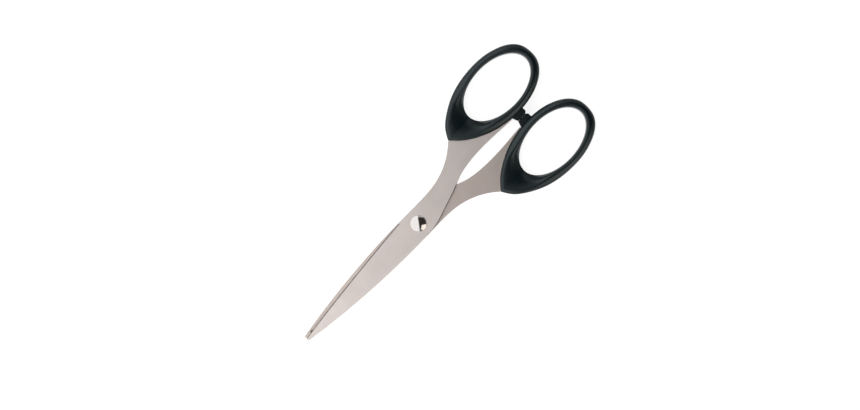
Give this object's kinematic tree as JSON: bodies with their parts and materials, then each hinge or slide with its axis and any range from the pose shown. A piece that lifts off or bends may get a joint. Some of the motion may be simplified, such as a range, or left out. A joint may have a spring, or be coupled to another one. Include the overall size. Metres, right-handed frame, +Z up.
{
  "type": "office scissors",
  "caption": "Straight office scissors with riveted steel blades and moulded symmetrical finger loops that meet on rubber stops; they open about the rivet.",
  "frame": {"origin": "centre of the object's footprint, on the plane of the undersides of the finger loops", "axes": "+X from the blade tips to the finger loops, +Y towards the front half's loop, +Z up along the rivet towards its domed head; the scissors lie flat and closed"},
  "size_m": [0.17, 0.0668, 0.008],
  "materials": {
    "blade_steel": "satin ground stainless steel",
    "rivet_polish": "mirror polished",
    "washer_steel": "plain zinc-plated steel",
    "washer_brass": "plain rolled brass",
    "loop_plastic": "satin moulded black plastic",
    "stop_rubber": "matte black rubber"
  },
  "bodies": {
    "back_half": {"back_blade": "blade_steel", "pivot_rivet": "rivet_polish", "rivet_tail_washer": "washer_steel", "pivot_washer": "washer_brass", "back_bow": "loop_plastic", "back_stop_buffer": "stop_rubber"},
    "front_half": {"front_blade": "blade_steel", "front_bow": "loop_plastic", "front_stop_buffer": "stop_rubber"}
  },
  "joints": [
    {"name": "pivot", "type": "hinge", "parent": "back_half", "child": "front_half", "pos_m": [-0.0095, 0, 0.004], "axis": [0, 0, 1], "range_deg": [0, 143]}
  ]
}
